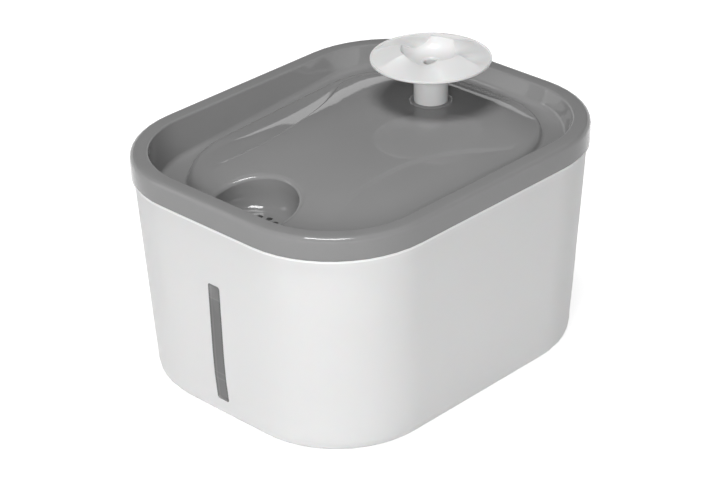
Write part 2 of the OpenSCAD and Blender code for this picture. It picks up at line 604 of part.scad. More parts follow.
// Flower: ridges between the petals, a dip in each, a steep cup in the middle
petal_n = 10;
ridge_turn = 20;
radii = [0.093, 0.17, 0.25, 0.33, 0.405, 0.466, 0.512, 0.575, 0.668, 0.776, 0.885, 0.969, 1];
ridge_of = [-0.55, -0.54, -0.25, 0.25, 0.68, 0.93, 1, 0.97, 0.85, 0.62, 0.32, 0.08, 0];
dip_of = [0, 0, 0.1, 0.32, 0.6, 0.85, 0.97, 1.03, 0.97, 0.75, 0.38, 0.08, 0];
function petal_ring(j) = [for (i = [0:petals * petal_n - 1]) let (
  t = (i % petal_n) / petal_n, a = ridge_turn + i * 360 / (petals * petal_n),
  r = flower_r * radii[j],
  z = flower_z + ridge_h * ridge_of[j] - petal_dip * dip_of[j] * sin(180 * pow(t, 0.85)))
  [r * cos(a), r * sin(a) + stem_y, z]];
function plain_ring(r, z) = [for (i = [0:petals * petal_n - 1]) let (
  a = ridge_turn + i * 360 / (petals * petal_n)) [r * cos(a), r * sin(a) + stem_y, z]];
module flower_dish() color(white) difference() {
  union() {
    loft(concat([for (j = [0:len(radii) - 1]) petal_ring(j)],
      [plain_ring(flower_r, flower_z - 1), plain_ring(flower_r - 0.8, flower_z - 1.7),
        plain_ring(flower_r * 0.76, flower_z - 2.4), plain_ring(flower_r * 0.5, flower_z - 4.4),
        plain_ring(stem_r + 1.6, flower_z - 7.4), plain_ring(stem_r + 0.3, dish_seat)]));
    translate([0, stem_y, dish_seat - 5.5]) cylinder(r = stem_bore - 0.05, h = 6.5);
  }
  translate([0, stem_y, dish_seat - 7]) cylinder(r = 3.6, h = 20);
}

// Filter basket under the bowl
basket_top = cup_low;
basket_low = basket_top - basket_h;
lid_t = 2;
module at_bowl(z) translate([0, bowl_y, z]) children();
module filter_housing() color(smoke) at_bowl(basket_low) difference() {
  cylinder(r = basket_r, h = basket_h);
  translate([0, 0, -1]) cylinder(r = basket_r - 2, h = basket_h + 2 - spigot_h - 1);
  translate([0, 0, basket_h - spigot_h - 1]) cylinder(r = spigot_r + 0.1, h = spigot_h + 2);
  translate([0, 0, -1]) cylinder(r = basket_r - 1.2, h = 1 + lid_t);
}
module filter_lid() color(smoke) at_bowl(basket_low) difference() {
  cylinder(r = basket_r - 1.25, h = lid_t);
  for (i = [-3:3]) translate([i * 5 - 1.2, -lid_reach(i), -1]) cube([2.4, 2 * lid_reach(i), lid_t + 2]);
}
function lid_reach(i) = sqrt(pow(basket_r - 5, 2) - pow(abs(i) * 5 + 1.2, 2));
pad_room = basket_h - spigot_h - 1 - lid_t;
cartridge_h = 0.6 * pad_room;
module filter_cartridge() color(white) at_bowl(basket_low + lid_t)
  cylinder(r = basket_r - 2.05, h = cartridge_h);
module filter_foam() color(dark) at_bowl(basket_low + lid_t + cartridge_h)
  cylinder(r = basket_r - 2.05, h = 0.3 * pad_room);

tank();
level_window();
foot_pads();
top_tray();
flower_dish();
flower_stem();
riser_tube();
riser_oring();
filter_housing();
filter_foam();
filter_cartridge();
filter_lid();
pump_housing();
stator_core();
stator_bobbin();
stator_coil();
rear_cap();
volute_cover();
impeller();
rotor_magnet();
impeller_shaft();
front_bush();
rear_bush();
flow_slider();
strainer_cage();
pump_foam();
suction_cups();
cable_gland();
cable_grommet();
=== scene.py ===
import bpy
import json
import math
from mathutils import Matrix, Vector

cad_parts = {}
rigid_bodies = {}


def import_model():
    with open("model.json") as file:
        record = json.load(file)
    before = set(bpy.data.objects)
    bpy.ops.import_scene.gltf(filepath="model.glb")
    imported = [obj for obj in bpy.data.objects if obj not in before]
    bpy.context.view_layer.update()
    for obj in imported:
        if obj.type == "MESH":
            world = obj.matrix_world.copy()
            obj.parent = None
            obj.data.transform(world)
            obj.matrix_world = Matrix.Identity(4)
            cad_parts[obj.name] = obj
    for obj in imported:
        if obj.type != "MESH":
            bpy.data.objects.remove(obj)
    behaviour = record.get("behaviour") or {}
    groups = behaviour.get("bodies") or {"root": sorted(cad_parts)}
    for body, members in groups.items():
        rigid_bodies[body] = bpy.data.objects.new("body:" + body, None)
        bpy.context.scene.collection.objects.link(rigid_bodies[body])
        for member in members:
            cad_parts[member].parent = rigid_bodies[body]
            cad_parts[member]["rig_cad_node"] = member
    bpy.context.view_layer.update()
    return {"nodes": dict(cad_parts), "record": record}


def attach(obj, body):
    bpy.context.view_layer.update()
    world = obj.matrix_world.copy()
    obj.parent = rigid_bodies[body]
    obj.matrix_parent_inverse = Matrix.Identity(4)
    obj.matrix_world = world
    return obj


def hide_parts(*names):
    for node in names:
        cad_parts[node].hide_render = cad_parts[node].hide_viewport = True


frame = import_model()
scene = bpy.context.scene
nodes = frame["nodes"]
print("frame loaded:", len(nodes), "nodes")


# Shader groups: each puts out colour, roughness and normal, and reads Object coordinates
def newGroup(name, inputs):
    group = bpy.data.node_groups.new(name, "ShaderNodeTree")
    for label, kind, value in inputs:
        socket = group.interface.new_socket(name=label, in_out="INPUT", socket_type="NodeSocket" + kind)
        socket.default_value = value
    for label, kind in (("Color", "Color"), ("Roughness", "Float"), ("Normal", "Vector")):
        group.interface.new_socket(name=label, in_out="OUTPUT", socket_type="NodeSocket" + kind)
    start = group.nodes.new("NodeGroupInput")
    end = group.nodes.new("NodeGroupOutput")
    where = group.nodes.new("ShaderNodeTexCoord")
    return group, start, end, where


def addNode(tree, kind, settings=None, **values):
    node = tree.nodes.new("ShaderNode" + kind)
    for key, value in (settings or {}).items():
        setattr(node, key, value)
    for key, value in values.items():
        node.inputs[key.replace("_", " ")].default_value = value
    return node


def mathNode(tree, how, a, b):
    node = tree.nodes.new("ShaderNodeMath")
    node.operation = how
    for socket, value in zip(node.inputs, (a, b)):
        if hasattr(value, "is_linked"):
            tree.links.new(value, socket)
        else:
            socket.default_value = value
    return node.outputs[0]


def scaleAndLift(tree, value, times, plus):
    # value times one number, plus another number or socket
    return mathNode(tree, "ADD", mathNode(tree, "MULTIPLY", value, times), plus)


def shadeColor(tree, base, share, low):
    # base colour, darkened to low times itself where share is 1
    dark = addNode(tree, "HueSaturation", Value=low)
    tree.links.new(base, dark.inputs["Color"])
    mix = addNode(tree, "Mix", {"data_type": "RGBA"})
    tree.links.new(share, mix.inputs[0])
    tree.links.new(base, mix.inputs[6])
    tree.links.new(dark.outputs[0], mix.inputs[7])
    return mix.outputs[2]


def bumpNode(tree, height, depth):
    bump = addNode(tree, "Bump", Strength=1.0)
    tree.links.new(height, bump.inputs["Height"])
    if hasattr(depth, "is_linked"):
        tree.links.new(depth, bump.inputs["Distance"])
    else:
        bump.inputs["Distance"].default_value = depth
    return bump.outputs["Normal"]


def mouldedSkinGroup():
    # spark-eroded grain, slow clouds of gloss and tint, and a few hairline scratches
    group, start, end, where = newGroup("mouldedSkin", [
        ("Base", "Color", (0.8, 0.8, 0.8, 1)), ("Tint", "Float", 0.97), ("Gloss", "Float", 0.3),
        ("Spread", "Float", 0.05), ("Grain", "Float", 1500.0), ("Depth", "Float", 0.00001),
        ("Scratch", "Float", 0.05)])
    links = group.links
    cloud = addNode(group, "TexNoise", Scale=16.0, Detail=3.0, Roughness=0.5)
    grain = addNode(group, "TexNoise", Detail=2.0, Roughness=0.6)
    links.new(where.outputs["Object"], cloud.inputs["Vector"])
    links.new(where.outputs["Object"], grain.inputs["Vector"])
    links.new(start.outputs["Grain"], grain.inputs["Scale"])
    turned = addNode(group, "Mapping")
    turned.inputs["Rotation"].default_value = (0.4, 0.7, 0.5)
    turned.inputs["Scale"].default_value = (1, 0.06, 1)
    hair = addNode(group, "TexVoronoi", {"feature": "DISTANCE_TO_EDGE"}, Scale=230.0, Randomness=1.0)
    links.new(where.outputs["Object"], turned.inputs["Vector"])
    links.new(turned.outputs[0], hair.inputs["Vector"])
    thin = addNode(group, "MapRange", From_Max=0.012, To_Min=1.0, To_Max=0.0)
    links.new(hair.outputs["Distance"], thin.inputs["Value"])
    scratch = mathNode(group, "MULTIPLY", thin.outputs[0], start.outputs["Scratch"])
    change = mathNode(group, "SUBTRACT", cloud.outputs[0], 0.5)
    spread = mathNode(group, "MULTIPLY", change, start.outputs["Spread"])
    rough = mathNode(group, "ADD", mathNode(group, "ADD", spread, start.outputs["Gloss"]), scratch)
    tinted = addNode(group, "Mix", {"data_type": "RGBA", "blend_type": "MULTIPLY"})
    tint = addNode(group, "CombineColor")
    for channel in tint.inputs:
        links.new(start.outputs["Tint"], channel)
    soft = addNode(group, "MapRange", From_Min=0.35, From_Max=0.65)
    links.new(cloud.outputs[0], soft.inputs["Value"])
    links.new(soft.outputs[0], tinted.inputs[0])
    links.new(start.outputs["Base"], tinted.inputs[6])
    links.new(tint.outputs[0], tinted.inputs[7])
    links.new(tinted.outputs[2], end.inputs["Color"])
    links.new(rough, end.inputs["Roughness"])
    links.new(bumpNode(group, grain.outputs[0], start.outputs["Depth"]), end.inputs["Normal"])
    return group


def foamPoresGroup():
    # open cells: painted shade darkens the pores between bright struts
    group, start, end, where = newGroup("foamPores", [
        ("Base", "Color", (0.05, 0.05, 0.05, 1)), ("Cells", "Float", 900.0), ("Depth", "Float", 0.0004)])
    links = group.links
    warp = addNode(group, "TexNoise", Scale=300.0, Detail=2.0)
    links.new(where.outputs["Object"], warp.inputs["Vector"])
    cells = addNode(group, "TexVoronoi", {"feature": "DISTANCE_TO_EDGE"}, Randomness=1.0)
    links.new(where.outputs["Object"], cells.inputs["Vector"])
    links.new(start.outputs["Cells"], cells.inputs["Scale"])
    poreShade = addNode(group, "MapRange", From_Min=0.04, From_Max=0.3)
    links.new(cells.outputs["Distance"], poreShade.inputs["Value"])
    # painted shade: the colour is darkened inside the pores
    links.new(shadeColor(group, start.outputs["Base"], poreShade.outputs[0], 0.25), end.inputs["Color"])
    strut = mathNode(group, "SUBTRACT", 1.0, poreShade.outputs[0])
    links.new(scaleAndLift(group, warp.outputs[0], 0.1, 0.85), end.inputs["Roughness"])
    links.new(bumpNode(group, strut, start.outputs["Depth"]), end.inputs["Normal"])
    return group


def fleeceGroup():
    # matted fibres lying in all directions, with painted shade in the low places between them
    group, start, end, where = newGroup("fleece", [
        ("Base", "Color", (0.8, 0.8, 0.78, 1)), ("Fibre", "Float", 500.0), ("Depth", "Float", 0.0002)])
    links = group.links
    heights = []
    for turn in (0.2, 1.3, 2.4):
        lie = addNode(group, "Mapping")
        lie.inputs["Rotation"].default_value = (0.3 * turn, 0.2, turn)
        lie.inputs["Scale"].default_value = (1, 0.12, 1)
        fibre = addNode(group, "TexNoise", Detail=3.0, Distortion=0.6)
        links.new(where.outputs["Object"], lie.inputs["Vector"])
        links.new(lie.outputs[0], fibre.inputs["Vector"])
        links.new(start.outputs["Fibre"], fibre.inputs["Scale"])
        heights.append(fibre.outputs[0])
    height = mathNode(group, "MAXIMUM", mathNode(group, "MAXIMUM", heights[0], heights[1]), heights[2])
    low = addNode(group, "MapRange", From_Min=0.5, From_Max=0.75, To_Min=1.0, To_Max=0.0)
    links.new(height, low.inputs["Value"])
    # painted shade: darker where the fibre height is low, between the fibres
    links.new(shadeColor(group, start.outputs["Base"], low.outputs[0], 0.72), end.inputs["Color"])
    links.new(scaleAndLift(group, low.outputs[0], 0.1, 0.8), end.inputs["Roughness"])
    links.new(bumpNode(group, height, start.outputs["Depth"]), end.inputs["Normal"])
    return group


def platesGroup():
    # stacked or turned metal: fine lines across one direction
    group, start, end, where = newGroup("plates", [
        ("Base", "Color", (0.4, 0.4, 0.42, 1)), ("Turn", "Vector", (0, 0, 0)), ("Lines", "Float", 300.0),
        ("Gloss", "Float", 0.35), ("Depth", "Float", 0.00004)])
    links = group.links
    lie = addNode(group, "Mapping")
    links.new(where.outputs["Object"], lie.inputs["Vector"])
    links.new(start.outputs["Turn"], lie.inputs["Rotation"])
    wave = addNode(group, "TexWave", {"bands_direction": "X"}, Distortion=0.2, Detail=1.0)
    links.new(lie.outputs[0], wave.inputs["Vector"])
    links.new(start.outputs["Lines"], wave.inputs["Scale"])
    stain = addNode(group, "TexNoise", Scale=220.0, Detail=4.0)
    links.new(where.outputs["Object"], stain.inputs["Vector"])
    gap = addNode(group, "MapRange", From_Max=0.25, To_Min=1.0, To_Max=0.0)
    links.new(wave.outputs["Fac"], gap.inputs["Value"])
    links.new(shadeColor(group, start.outputs["Base"], gap.outputs[0], 0.45), end.inputs["Color"])
    links.new(scaleAndLift(group, stain.outputs[0], 0.25, start.outputs["Gloss"]), end.inputs["Roughness"])
    links.new(bumpNode(group, wave.outputs["Fac"], start.outputs["Depth"]), end.inputs["Normal"])
    return group


def rubberBloomGroup():
    # talc-like bloom in patches on fine matte rubber
    group, start, end, where = newGroup("rubberBloom", [
        ("Base", "Color", (0.03, 0.03, 0.03, 1)), ("Bloom", "Float", 0.2), ("Depth", "Float", 0.00003)])
    links = group.links
    patch = addNode(group, "TexNoise", Scale=90.0, Detail=5.0, Roughness=0.65)
    grain = addNode(group, "TexNoise", Scale=2200.0, Detail=2.0)
    for noise in (patch, grain):
        links.new(where.outputs["Object"], noise.inputs["Vector"])
    dusty = addNode(group, "MapRange", From_Min=0.45, From_Max=0.75)
    links.new(patch.outputs[0], dusty.inputs["Value"])
    mix = addNode(group, "Mix", {"data_type": "RGBA"})
    mix.inputs[7].default_value = (0.35, 0.35, 0.35, 1)
    links.new(mathNode(group, "MULTIPLY", dusty.outputs[0], start.outputs["Bloom"]), mix.inputs[0])
    links.new(start.outputs["Base"], mix.inputs[6])
    links.new(mix.outputs[2], end.inputs["Color"])
    links.new(scaleAndLift(group, dusty.outputs[0], 0.15, 0.55), end.inputs["Roughness"])
    links.new(bumpNode(group, grain.outputs[0], start.outputs["Depth"]), end.inputs["Normal"])
    return group


def smokedStripGroup():
    # a clear strip over a dark inside: painted shade darkening both edges, a painted reflection as one pale
    # streak, level lines and a mottled top
    group, start, end, where = newGroup("smokedStrip", [
        ("Base", "Color", (0.2, 0.2, 0.2, 1)), ("Gloss", "Float", 0.16), ("Depth", "Float", 0.000003)])
    links = group.links
    split = addNode(group, "SeparateXYZ")
    links.new(where.outputs["Object"], split.inputs[0])
    mottle = addNode(group, "TexNoise", Scale=420.0, Detail=3.0)
    links.new(where.outputs["Object"], mottle.inputs["Vector"])

    # a smooth step between two values
    def ramp(value, low, high, atLow, atHigh):
        step = addNode(group, "MapRange", {"interpolation_type": "SMOOTHSTEP"}, From_Min=low, From_Max=high,
            To_Min=atLow, To_Max=atHigh)
        links.new(value, step.inputs["Value"])
        return step.outputs[0]

    # a soft stripe across one axis
    def near(axis, middle, half, gain):
        away = mathNode(group, "ABSOLUTE", mathNode(group, "SUBTRACT", split.outputs[axis], middle), 0.0)
        return ramp(away, half * 0.4, half * 1.4, gain, 0.0)

    # painted shade: the strip darkens towards both side edges
    sides = ramp(mathNode(group, "ABSOLUTE", split.outputs["X"], 0.0), 0.0027, 0.0038, 1.0, 0.72)
    pale = mathNode(group, "MULTIPLY", ramp(split.outputs["Z"], 0.0725, 0.074, 0.0, 0.3), mottle.outputs[0])
    # the pale stripe at x -2.2 mm is a painted reflection
    gains = [near("X", -0.0022, 0.0005, 0.22), pale]
    gains += [near("Z", middle, 0.0004, 0.2) for middle in (0.0735, 0.0302, 0.0266)]
    gain = sides
    for extra in gains:
        gain = mathNode(group, "ADD", gain, extra)
    shade = addNode(group, "HueSaturation")
    links.new(gain, shade.inputs["Value"])
    links.new(start.outputs["Base"], shade.inputs["Color"])
    links.new(shade.outputs[0], end.inputs["Color"])
    links.new(scaleAndLift(group, mottle.outputs[0], 0.04, start.outputs["Gloss"]), end.inputs["Roughness"])
    links.new(bumpNode(group, mottle.outputs[0], start.outputs["Depth"]), end.inputs["Normal"])
    return group


mouldedSkin = mouldedSkinGroup()
smokedStrip = smokedStripGroup()
foamPores = foamPoresGroup()
fleece = fleeceGroup()
plates = platesGroup()
rubberBloom = rubberBloomGroup()
print("shader groups made")


# A material: one group feeds the shader, and what is constant sits on the shader's own sockets
def newMaterial(name, group, settings, constants=None):
    material = bpy.data.materials.new(name)
    material.use_nodes = True
    tree = material.node_tree
    shader = tree.nodes["Principled BSDF"]
    skin = tree.nodes.new("ShaderNodeGroup")
    skin.node_tree = group
    for key, value in settings.items():
        skin.inputs[key].default_value = value
    tree.links.new(skin.outputs["Color"], shader.inputs["Base Color"])
    tree.links.new(skin.outputs["Roughness"], shader.inputs["Roughness"])
    tree.links.new(skin.outputs["Normal"], shader.inputs["Normal"])
    for key, value in (constants or {}).items():
        shader.inputs[key].default_value = value
    return material


def grey(value, warm=0.0):
    return (value + warm, value, value - warm, 1)


finishes = {
    "tank_white": newMaterial("satinWhiteTank", mouldedSkin,
        {"Base": grey(0.75), "Tint": 0.985, "Gloss": 0.34, "Spread": 0.06, "Grain": 1600.0, "Depth": 0.000006,
         "Scratch": 0.02}, {"IOR": 1.5, "Subsurface Weight": 0.08, "Subsurface Scale": 0.002}),
    "tray_grey": newMaterial("glossGreyTray", mouldedSkin,
        {"Base": grey(0.24), "Tint": 0.97, "Gloss": 0.06, "Spread": 0.02, "Grain": 500.0, "Depth": 0.000002,
         "Scratch": 0.03}, {"IOR": 1.5, "Specular IOR Level": 0.5}),
    "flower_white": newMaterial("glossWhiteFlower", mouldedSkin,
        {"Base": grey(0.71), "Tint": 0.985, "Gloss": 0.24, "Spread": 0.04, "Grain": 900.0, "Depth": 0.000004,
         "Scratch": 0.02}, {"IOR": 1.5, "Subsurface Weight": 0.08, "Subsurface Scale": 0.002}),
    "window_smoke": newMaterial("smokedWindow", smokedStrip,
        {"Base": grey(0.145), "Gloss": 0.16, "Depth": 0.000003}, {"IOR": 1.49, "Transmission Weight": 0.2}),
    "smoke_plastic": newMaterial("smokedFilterPlastic", mouldedSkin,
        {"Base": grey(0.42), "Tint": 0.93, "Gloss": 0.14, "Spread": 0.05, "Grain": 800.0, "Depth": 0.000004,
         "Scratch": 0.06}, {"IOR": 1.49, "Transmission Weight": 0.55}),
    "pump_dark": newMaterial("matteBlackPump", mouldedSkin,
        {"Base": grey(0.028), "Tint": 0.8, "Gloss": 0.46, "Spread": 0.12, "Grain": 2000.0, "Depth": 0.00003,
         "Scratch": 0.08}),
    "bobbin_white": newMaterial("milkyNylon", mouldedSkin,
        {"Base": grey(0.62, 0.02), "Tint": 0.94, "Gloss": 0.42, "Spread": 0.08, "Grain": 1800.0,
         "Depth": 0.00001, "Scratch": 0.03}, {"Subsurface Weight": 0.2, "Subsurface Scale": 0.001}),
    "rubber_grey": newMaterial("greyFootRubber", rubberBloom,
        {"Base": grey(0.16), "Bloom": 0.15, "Depth": 0.00003}),
    "rubber_black": newMaterial("blackSealRubber", rubberBloom,
        {"Base": grey(0.02), "Bloom": 0.12, "Depth": 0.00003}),
    "foam_dark": newMaterial("charcoalFoam", foamPores,
        {"Base": grey(0.06), "Cells": 800.0, "Depth": 0.0005}),
    "fleece_white": newMaterial("whiteFleece", fleece,
        {"Base": grey(0.78, 0.01), "Fibre": 520.0, "Depth": 0.0002},
        {"Sheen Weight": 0.3, "Sheen Roughness": 0.5}),
    "steel_laminate": newMaterial("laminatedSteel", plates,
        {"Base": grey(0.42), "Turn": (0, 0, math.pi / 2), "Lines": 320.0, "Gloss": 0.3, "Depth": 0.00005},
        {"Metallic": 1.0}),
    "copper_wire": newMaterial("enamelledCopper", plates,
        {"Base": (0.56, 0.2, 0.08, 1), "Turn": (0, 0, 0), "Lines": 500.0, "Gloss": 0.22, "Depth": 0.00002},
        {"Metallic": 1.0, "Coat Weight": 0.6, "Coat Roughness": 0.12}),
    "ferrite": newMaterial("sinteredFerrite", plates,
        {"Base": grey(0.05), "Turn": (0, 0, math.pi / 2), "Lines": 260.0, "Gloss": 0.45, "Depth": 0.00002},
        {"Metallic": 0.3}),
    "shaft_ceramic": newMaterial("groundCeramic", plates,
        {"Base": grey(0.74), "Turn": (0, 0, math.pi / 2), "Lines": 900.0, "Gloss": 0.12, "Depth": 0.000004},
        {"Coat Weight": 0.2}),
}
for part in frame["record"]["subparts"]:
    slots = nodes[part["node"]].data.materials
    slots.clear()
    slots.append(finishes[part["material_slot"]])
print("materials:", len(finishes))


# Modelling helpers
bodyOf = {node: body for body, members in frame["record"]["behaviour"]["bodies"].items() for node in members}
slotOf = {part["node"]: part["material_slot"] for part in frame["record"]["subparts"]}


def onlySelect(piece):
    bpy.ops.object.select_all(action="DESELECT")
    if piece:
        piece.select_set(True)
        bpy.context.view_layer.objects.active = piece


def settle(piece, name, node, smooth=30, finish=None, stands=True):
    # name, shading, finish and body of a piece that is made for a CAD node
    onlySelect(piece)
    piece.name = name
    bpy.ops.object.transform_apply(location=True, rotation=True, scale=True)
    bpy.ops.object.shade_smooth_by_angle(angle=math.radians(smooth))
    piece.data.materials.clear()
    piece.data.materials.append(finishes[finish or slotOf[node]])
    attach(piece, bodyOf[node])
    if stands:
        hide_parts(node)
    return piece


def applyModifier(piece, kind, **settings):
    onlySelect(piece)
    modifier = piece.modifiers.new(kind.lower(), kind)
    for key, value in settings.items():
        setattr(modifier, key, value)
    bpy.ops.object.modifier_apply(modifier=modifier.name)


def evenNormals(piece):
    applyModifier(piece, "WEIGHTED_NORMAL", keep_sharp=True, weight=60)


def editAll(piece):
    # edit mode with everything selected
    onlySelect(piece)
    bpy.ops.object.mode_set(mode="EDIT")
    bpy.ops.mesh.select_all(action="SELECT")


def leaveEdit():
    bpy.ops.object.mode_set(mode="OBJECT")


def mergePoints(piece, threshold=0.000004):
    editAll(piece)
    bpy.ops.mesh.remove_doubles(threshold=threshold)
    leaveEdit()


def mergedCopy(node):
    # the CAD mesh is loose triangles, so the copy is merged
    onlySelect(nodes[node])
    bpy.ops.object.duplicate()
    piece = bpy.context.object
    del piece["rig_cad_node"]
    piece.parent = None
    mergePoints(piece)
    return piece


def smoothCopy(node, name, angle):
    piece = mergedCopy(node)
    settle(piece, name, node, angle)
    evenNormals(piece)
    return piece


def turned(profile, centre, count, poles=(False, False)):
    # a ring drawn out and scaled through (radius, height), shut at its poles or bridged to itself
    onlySelect(None)
    radius, height = profile[0]
    bpy.ops.mesh.primitive_circle_add(vertices=count, radius=radius,
        fill_type="TRIFAN" if poles[0] else "NOTHING",
        location=(centre[0], centre[1], centre[2] + height))
    piece = bpy.context.object
    bpy.ops.object.transform_apply(location=True)
    bpy.ops.object.mode_set(mode="EDIT")
    bpy.ops.mesh.select_all(action="DESELECT")
    bpy.ops.object.mode_set(mode="OBJECT")
    for edge in piece.data.edges:
        middle = (piece.data.vertices[edge.vertices[0]].co + piece.data.vertices[edge.vertices[1]].co) / 2
        edge.select = math.hypot(middle.x - centre[0], middle.y - centre[1]) > radius * 0.9
    bpy.ops.object.mode_set(mode="EDIT")
    bpy.ops.mesh.select_mode(type="EDGE")
    for (r0, z0), (r1, z1) in zip(profile, profile[1:]):
        bpy.ops.mesh.extrude_edges_move(TRANSFORM_OT_translate={"value": (0, 0, z1 - z0)})
        bpy.ops.transform.resize(value=(r1 / r0, r1 / r0, 1), center_override=(centre[0], centre[1], 0))
    if poles[1]:
        bpy.ops.mesh.extrude_edges_move(TRANSFORM_OT_translate={"value": (0, 0, 0)})
        bpy.ops.mesh.merge(type="CENTER")
    elif not poles[0]:
        bpy.ops.mesh.select_all(action="DESELECT")
        bpy.ops.mesh.select_non_manifold(extend=False, use_wire=False, use_boundary=True,
            use_multi_face=False, use_non_contiguous=False, use_verts=False)
        bpy.ops.mesh.bridge_edge_loops()
    bpy.ops.mesh.select_all(action="SELECT")
    bpy.ops.mesh.normals_make_consistent(inside=False)
    bpy.ops.object.mode_set(mode="OBJECT")
    return piece


# Tank, stem and window keep their CAD shapes, smoothed
shells = {"tank": ("tankShell", 32), "flower_stem": ("stemTube", 40), "level_window": ("windowStrip", 25)}
for node, (name, angle) in shells.items():
    smoothCopy(node, name, angle)
print("smooth shells:", len(shells))

# Tray: the CAD tray, its bowl filled and cut again, rounder, deeper in the front and with a full lip
bowl = {
    "centre": (0, -0.0789), "radius": 0.0226, "floorRadius": 0.0154, "floor": 0.1028, "wall": 0.0022,
    "lipHeight": 0.11533, "lipSlope": 0.1996, "lipRound": 0.0026, "lipReach": 0.003, "frontWall": -0.0967,
    "swell": 0.00025, "curve": 2.4, "plateauEdge": (-0.07815, 0.1156), "moatFoot": (-0.0888, 0.10514),
    "cupLow": 0.1006, "cupTop": 0.13, "oldCentre": (0, -0.073), "oldReach": 0.0247, "plugTop": 0.118,
    "sample": 0.005, "holeRadius": 0.0016, "holePitch": 0.0055, "holeLow": 0.098, "holeSides": 20,
    "steps": 96,
}


def cut(piece, tool, how):
    applyModifier(piece, "BOOLEAN", operation=how, solver="EXACT", object=tool)
    bpy.data.objects.remove(tool, do_unlink=True)


def heightOn(surface, x, y):
    # height of the first surface met from above
    hit, place, normal, face = surface.ray_cast(Vector((x, y, 0.2)), Vector((0, 0, -1)))
    return place.z if hit else 0


def oldBowlFill(surface, s):
    # a plug for the CAD bowl, its top carried on from the plateau around it
    reach, (cx, cy) = s["oldReach"], s["oldCentre"]
    rings = [(reach, s["cupLow"] + 0.0002), (reach, s["plugTop"])]
    rings += [(reach * k, s["plugTop"]) for k in (0.98, 0.9, 0.8, 0.6, 0.4, 0.2)]
    plug = turned(rings, (cx, cy, 0), s["steps"], poles=(True, True))
    for vertex in plug.data.vertices:
        if vertex.co.z < 0.11:
            continue
        spread = Vector((vertex.co.x - cx, vertex.co.y - cy))
        out = spread.normalized() if spread.length > 0.0001 else Vector((0, 1))
        far = reach + s["sample"]
        atRim = heightOn(surface, cx + out.x * reach, cy + out.y * reach)
        beyond = heightOn(surface, cx + out.x * far, cy + out.y * far)
        height = atRim + (beyond - atRim) / s["sample"] * (spread.length - reach)
        if cy + out.y * reach < s["plateauEdge"][0] + 0.004:
            height = s["floor"] + 0.001
        vertex.co.z = height - (0.0003 if spread.length > reach * 0.99 else -0.000004)
    return plug


def bowlCup(s):
    # outer body of the new bowl, level with the moat in front and just under the plateau behind
    (cx, cy), rise = s["centre"], s["lipHeight"] - s["floor"]
    outer, low, top = s["radius"] + s["wall"], s["cupLow"], s["cupTop"]
    (edgeY, edgeZ), (footY, footZ) = s["plateauEdge"], s["moatFoot"]
    profile = [(s["floorRadius"] + 0.0012, low), (s["floorRadius"] + 0.0034, low + 0.0008),
        (outer - 0.0009, low + 0.36 * rise), (outer, low + 0.55 * rise), (outer, top)]
    profile += [(outer * k, top) for k in (0.96, 0.88, 0.78, 0.66, 0.5, 0.3, 0.1)]
    cup = turned(profile, (cx, cy, 0), s["steps"], poles=(True, True))
    sideLine = [(-0.2, footZ - 0.0013), (footY, footZ - 0.0006), (footY + 0.001, footZ + 0.0036),
        (footY + 0.0042, edgeZ - 0.0026), (edgeY, edgeZ - 0.0013), (edgeY + 0.05, edgeZ + 0.0066)]
    for vertex in cup.data.vertices:
        if vertex.co.z > 0.12:
            for (y0, z0), (y1, z1) in zip(sideLine, sideLine[1:]):
                if y0 <= vertex.co.y < y1:
                    vertex.co.z = z0 + (z1 - z0) * (vertex.co.y - y0) / (y1 - y0)
    return cup


def cutFront(s):
    # the selected tool is cut off short of the moat's front wall
    bpy.ops.mesh.bisect(plane_co=(0, s["frontWall"], 0), plane_no=(0, -1, 0), use_fill=True, clear_outer=True)
    leaveEdit()


def bowlPocket(s):
    # the round hollow
    (cx, cy), rise = s["centre"], s["lipHeight"] - s["floor"]
    swell = s["radius"] + s["swell"] - s["floorRadius"]
    levels = (0, 0.02, 0.05, 0.09, 0.14, 0.2, 0.28, 0.38, 0.5, 0.66, 0.85, 1.5)
    swells = [swell * math.sqrt(1 - (1 - min(1, k)) ** s["curve"]) for k in levels]
    profile = [(s["floorRadius"] + out, s["floor"] + rise * k) for out, k in zip(swells, levels)]
    pocket = turned(profile, (cx, cy, 0), s["steps"], poles=(True, True))
    editAll(pocket)
    cutFront(s)
    return pocket


def lipCutter(s):
    # a tilted ring that rounds the bowl's edge over
    (cx, cy), turn, top = s["centre"], s["lipRound"], s["lipHeight"]
    outer = s["radius"] + turn + s["lipReach"]
    angles = [math.radians(a) for a in range(30, 91, 6)]
    arc = [(s["radius"] + turn * (1 - math.cos(a)), top - turn * (1 - math.sin(a))) for a in angles]
    profile = [(arc[0][0] - 0.0012, top - turn)] + arc + [(outer, top + 0.0011), (outer, top + 0.012)]
    cutter = turned(profile, (cx, cy, 0), s["steps"], poles=(True, True))
    editAll(cutter)
    bpy.ops.transform.rotate(value=-math.atan(s["lipSlope"]), orient_axis="X", center_override=(cx, cy, top))
    cutFront(s)
    return cutter


def drainPins(s):
    # one pin for the middle and each of two rings of holes
    pins = []
    profile = [(s["holeRadius"], s["holeLow"]), (s["holeRadius"], s["floor"] + 0.002)]
    for ring in range(3):
        for turn in range(max(1, ring * 6)):
            angle = math.radians((turn + ring / 2) * 60 / max(ring, 1))
            place = (s["centre"][0] + ring * s["holePitch"] * math.cos(angle),
                s["centre"][1] + ring * s["holePitch"] * math.sin(angle), 0)
            pins.append(turned(profile, place, s["holeSides"], (True, True)))
    onlySelect(pins[0])
    for pin in pins[1:]:
        pin.select_set(True)
    bpy.ops.object.join()
    return bpy.context.object


